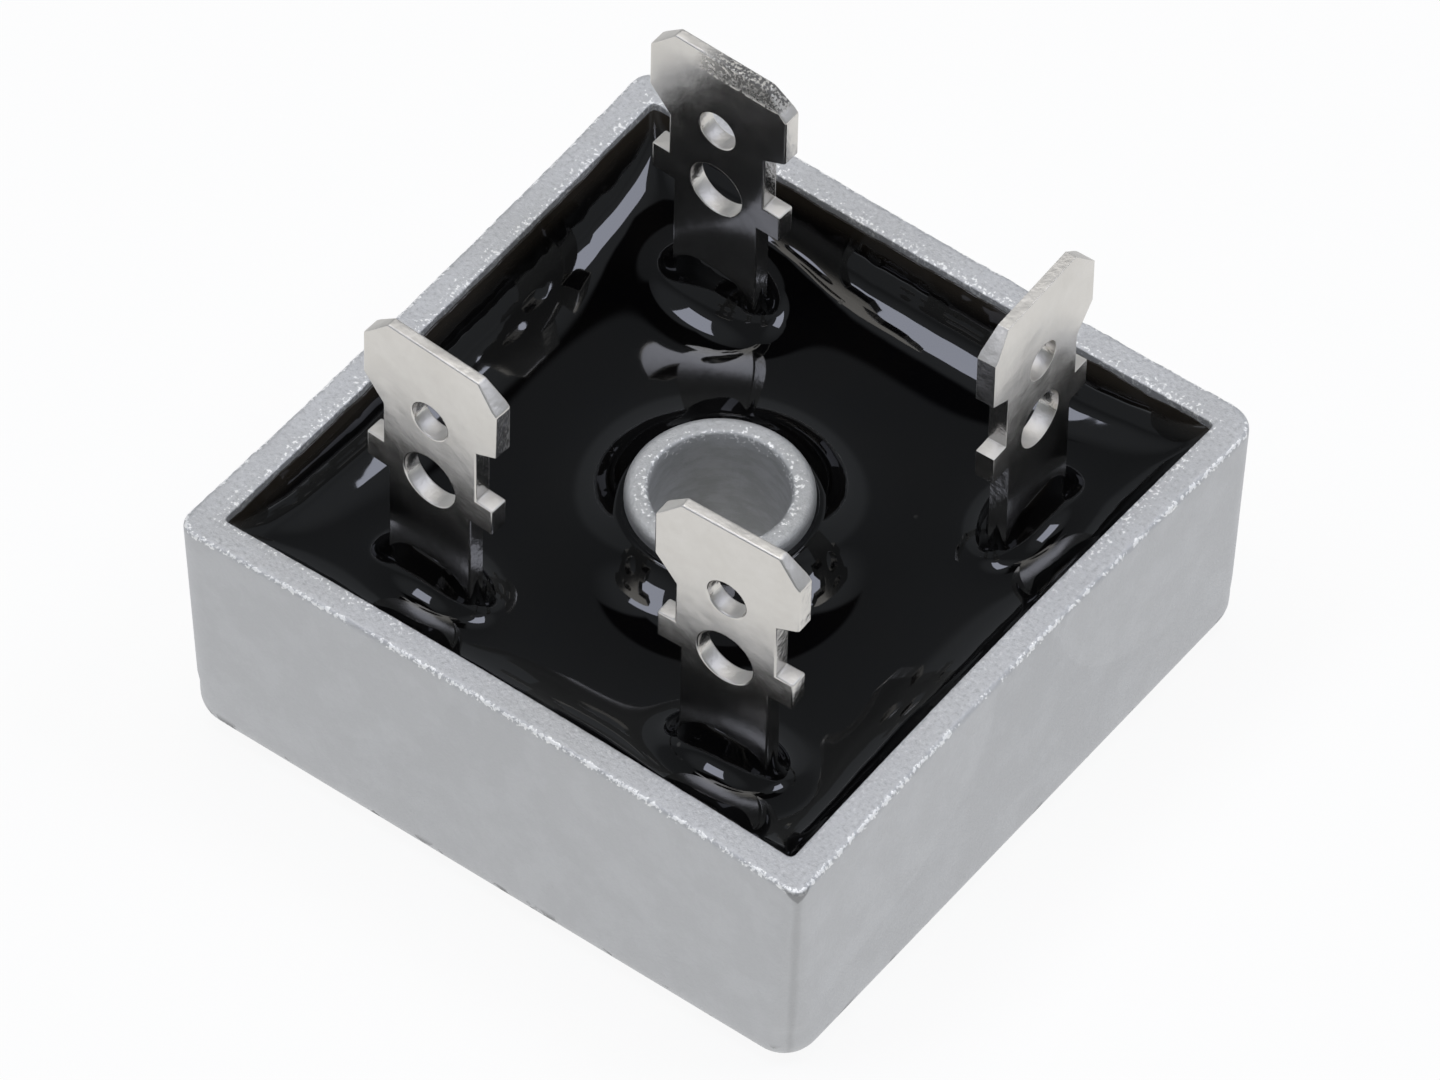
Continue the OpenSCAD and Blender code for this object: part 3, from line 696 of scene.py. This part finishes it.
# A finer net round the legs, where the surface curves most
near_legs = {e for f in resin_mesh.faces if any(
    from_leg(*(f.calc_center_median() / MM).xy, *leg) < FINE_NET for leg in LEGS) for e in f.edges}
finer = bmesh.ops.subdivide_edges(resin_mesh, edges=list(near_legs), cuts=1, use_grid_fill=True)
for v in (g for g in finer["geom_inner"] if isinstance(g, bmesh.types.BMVert)):
    x, y = v.co.x / MM, v.co.y / MM
    side = max(abs(x), abs(y)) / inner_face(BRIM)
    v.co = resin_point(x, y, x / side, y / side)
rims = [e for e in resin_mesh.edges if e.is_boundary]
sunk = bmesh.ops.extrude_edge_only(resin_mesh, edges=rims)
for v in (g for g in sunk["geom"] if isinstance(g, bmesh.types.BMVert)):
    v.co.z = FLOOR_TOP * MM
low = [e for e in resin_mesh.edges if e.is_boundary]
bmesh.ops.bridge_loops(resin_mesh, edges=low)
bmesh.ops.recalc_face_normals(resin_mesh, faces=resin_mesh.faces)
filling = finish_mesh("resin_filling", resin_mesh)

RESIN_BLACK, RESIN_HAZY = (0.0020, 0.0022, 0.0030, 1), (0.0050, 0.0042, 0.0034, 1)
BROWN_FILM = (0.045, 0.036, 0.026)
DUST = (0.10, 0.095, 0.085)
FILM_FROM, FILM_FULL = 0.0098, 0.0106    # the thin film near the brim shows brown

resin, tree, shader = new_finish("black_resin")
shader.inputs["IOR"].default_value = 1.52
place = node_at(tree, "ShaderNodeTexCoord", -1300, 0)
haze = cloud(tree, place, 0.35, 3.0, -1100, 0)
mote = node_at(tree, "ShaderNodeTexVoronoi", -1100, -300, feature="F1", Scale=420.0, Randomness=1.0)
tree.links.new(place.outputs["Object"], mote.inputs["Vector"])
specks = step_up(tree, mote.outputs["Distance"], 0.030, 0.055, 1, 0, -900, -300)
dusty = step_up(tree, cloud(tree, place, 0.22, 2.0, -1100, -600), 0.50, 0.60, 0, 1, -900, -600)
specks = combine(tree, "MULTIPLY", specks, dusty, -700, -300)
black = node_at(tree, "ShaderNodeMix", -700, 200, data_type="RGBA")
black.inputs[6].default_value = RESIN_BLACK
black.inputs[7].default_value = RESIN_HAZY
tree.links.new(haze, black.inputs[0])
film = lean(tree, place.outputs["Object"], UP, -1100, 500)
film = step_up(tree, film, FILM_FROM, FILM_FULL, 0, 0.8, -900, 500)
filmed = tint(tree, film, black.outputs[2], BROWN_FILM, -500, 200)
dusted = tint(tree, specks, filmed, DUST, -300, 200)
tree.links.new(dusted, shader.inputs["Base Color"])
skin = step_up(tree, haze, 0.35, 0.65, 0.022, 0.040, -700, 0)
rough_dust = combine(tree, "MULTIPLY", specks, 0.3, -500, -300)
tree.links.new(combine(tree, "ADD", skin, rough_dust, -300, 0), shader.inputs["Roughness"])
filling.data.materials.append(resin)
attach(filling, "root")
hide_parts("potting")


# ----------------------------------------------------------------------------------------------
# The studio. A white table that glows for the camera, two softboxes high on the left and right,
# a broad one overhead, and a dim grey room. The overhead lamp is kept off the resin, so that it
# puts no bright square on the glossy skin.
# ----------------------------------------------------------------------------------------------
TABLE_HALF = 3.0
TABLE_DROP = 0.00002
TABLE_GLOW = 0.9
table_mesh = bmesh.new()
bmesh.ops.create_grid(table_mesh, x_segments=2, y_segments=2, size=TABLE_HALF)
for v in table_mesh.verts:
    v.co.z = -TABLE_DROP
table = finish_mesh("table", table_mesh, smooth=False)
white, tree, shader = new_finish("table_white")
shader.inputs["Base Color"].default_value = (0.86, 0.86, 0.86, 1)
shader.inputs["Roughness"].default_value = 0.9
shader.inputs["Specular IOR Level"].default_value = 0.1
glow = node_at(tree, "ShaderNodeEmission", 300, 200, Color=(1, 1, 1, 1), Strength=1.0)
who = node_at(tree, "ShaderNodeLightPath", -300, 400)
seen = node_at(tree, "ShaderNodeMath", 0, 400, operation="MAXIMUM")
seen_too = node_at(tree, "ShaderNodeMath", 0, 200, operation="MAXIMUM")
tree.links.new(who.outputs["Is Camera Ray"], seen.inputs[0])
tree.links.new(who.outputs["Is Glossy Ray"], seen.inputs[1])
tree.links.new(seen.outputs[0], seen_too.inputs[0])
tree.links.new(who.outputs["Is Transmission Ray"], seen_too.inputs[1])
share = node_at(tree, "ShaderNodeMath", 300, 400, operation="MULTIPLY")
share.inputs[1].default_value = TABLE_GLOW
tree.links.new(seen_too.outputs[0], share.inputs[0])
both = node_at(tree, "ShaderNodeMixShader", 750, 200)
tree.links.new(share.outputs[0], both.inputs[0])
tree.links.new(shader.outputs["BSDF"], both.inputs[1])
tree.links.new(glow.outputs[0], both.inputs[2])
tree.links.new(both.outputs[0], tree.nodes["Material Output"].inputs["Surface"])
table.data.materials.append(white)


LAMP_DISTANCE = 1.2
LEFT_LAMP = (-0.31, -0.386, 0.871)
RIGHT_LAMP = (0.449, 0.393, 0.807)
TOP_LAMP = (-0.12, 0.10, 0.98)
SIDE_RADIANCE, TOP_RADIANCE = 5.8, 3.0
COOL_WHITE, WARM_WHITE = (0.80, 0.84, 1.0), (1.0, 0.98, 0.95)


def softbox(name, direction, width, depth, radiance, color):
    """A lamp that faces the part from a direction, with one pair of its sides along X."""
    way = Vector(direction).normalized()
    across = (Vector((1, 0, 0)) - way * way.x).normalized()
    lamp = bpy.data.lights.new(name, "AREA")
    lamp.shape = "RECTANGLE"
    lamp.size = width * LAMP_DISTANCE
    lamp.size_y = depth * LAMP_DISTANCE
    lamp.energy = radiance * math.pi * lamp.size * lamp.size_y
    lamp.color = color
    box = bpy.data.objects.new(name, lamp)
    turn = Matrix((across, way.cross(across), way)).transposed().to_4x4()
    box.matrix_world = Matrix.Translation(way * LAMP_DISTANCE) @ turn
    bpy.context.scene.collection.objects.link(box)
    return box


softbox("softbox_left", LEFT_LAMP, 0.24, 0.42, SIDE_RADIANCE, COOL_WHITE)
softbox("softbox_right", RIGHT_LAMP, 0.34, 0.33, SIDE_RADIANCE, COOL_WHITE)
overhead = softbox("softbox_top", TOP_LAMP, 0.75, 0.75, TOP_RADIANCE, WARM_WHITE)
shaded = bpy.data.collections.new("shaded_from_top")
shaded.objects.link(filling)
overhead.light_linking.receiver_collection = shaded
shaded.collection_objects[0].light_linking.link_state = "EXCLUDE"

# The room: darker overhead, a soft glow round both side lamps, and a dark opening on the far left
HORIZON_EXTRA = 0.7
WALL_LIGHT, CEILING_LIGHT = 0.29, 0.17
LAMP_GLOW = 0.16
ROOM_TINT = (0.94, 1.0, 1.07)
TO_OPENING, ALONG_OPENING = (-1, 1, 0), (1, 1, 0)
room = bpy.data.worlds.new("room")
room.use_nodes = True
bpy.context.scene.world = room
air = room.node_tree
air.nodes.clear()
sky_out = node_at(air, "ShaderNodeOutputWorld", 600, 0)
sky = node_at(air, "ShaderNodeBackground", 400, 0, Strength=1.0)
look = node_at(air, "ShaderNodeTexCoord", -1100, 0)


def toward(direction, x, y):
    """How far the ray's direction leans towards a direction, from -1 to 1."""
    return lean(air, look.outputs["Generated"], direction, x, y)


up = toward(UP, -850, 300)
level = combine(air, "ADD", step_up(air, up, 0.04, 0.08, HORIZON_EXTRA, 0.0, -600, 400),
                step_up(air, up, 0.44, 0.54, WALL_LIGHT, CEILING_LIGHT, -600, 200), -350, 300)
for y, lamp in ((0, LEFT_LAMP), (-200, RIGHT_LAMP)):
    near_lamp = step_up(air, toward(lamp, -850, y), 0.86, 0.97, 0.0, LAMP_GLOW, -600, y)
    level = combine(air, "ADD", level, near_lamp, -350, y)
opening = toward(TO_OPENING, -850, -400)
opening_along = toward(ALONG_OPENING, -850, -800)
dark = combine(air, "MINIMUM", step_up(air, opening, 0.10, 0.14, 0, 1, -600, -400),
               step_up(air, opening, 0.37, 0.43, 1, 0, -600, -600), -350, -500)
ends = combine(air, "MINIMUM", step_up(air, opening_along, -0.32, -0.26, 0, 1, -600, -800),
               step_up(air, opening_along, 0.36, 0.42, 1, 0, -600, -1000), -350, -900)
dark = combine(air, "MINIMUM", dark, ends, -100, -600)
dark = combine(air, "MINIMUM", dark, step_up(air, up, 0.3, 0.5, 0, 1, -600, -1200), 50, -600)
lit = step_up(air, dark, 0, 1, 1, 0, 200, -600)
level = combine(air, "MULTIPLY", level, lit, 200, 0)
cool = node_at(air, "ShaderNodeVectorMath", 350, 0, operation="SCALE")
cool.inputs[0].default_value = ROOM_TINT
air.links.new(level, cool.inputs["Scale"])
air.links.new(cool.outputs[0], sky.inputs["Color"])
air.links.new(sky.outputs[0], sky_out.inputs["Surface"])


# ----------------------------------------------------------------------------------------------
# The camera. It looks down at the near corner through a long lens, at about fifty degrees from
# level, and it is tipped a little about its own axis.
# ----------------------------------------------------------------------------------------------
AIM = Vector((-0.0035, 0.004891, 0))
AZIMUTH = math.radians(35.916)
ELEVATION = math.radians(49.859)
ROLL = math.radians(1.448)
DISTANCE = 0.5603
FOCAL_LENGTH = 373.9
back = Vector((math.sin(AZIMUTH) * math.cos(ELEVATION), -math.cos(AZIMUTH) * math.cos(ELEVATION),
               math.sin(ELEVATION)))
right = Vector((math.cos(AZIMUTH), math.sin(AZIMUTH), 0))
upward = back.cross(right)
rolled_right = right * math.cos(ROLL) + upward * math.sin(ROLL)
rolled_up = back.cross(rolled_right)
lens = bpy.data.cameras.new("camera")
lens.lens = FOCAL_LENGTH
lens.sensor_width = 36
lens.clip_end = 20
camera = bpy.data.objects.new("camera", lens)
turn = Matrix((rolled_right, rolled_up, back)).transposed().to_4x4()
camera.matrix_world = Matrix.Translation(AIM + back * DISTANCE) @ turn
bpy.context.scene.collection.objects.link(camera)
bpy.context.scene.camera = camera
bpy.context.scene.view_settings.view_transform = "Standard"
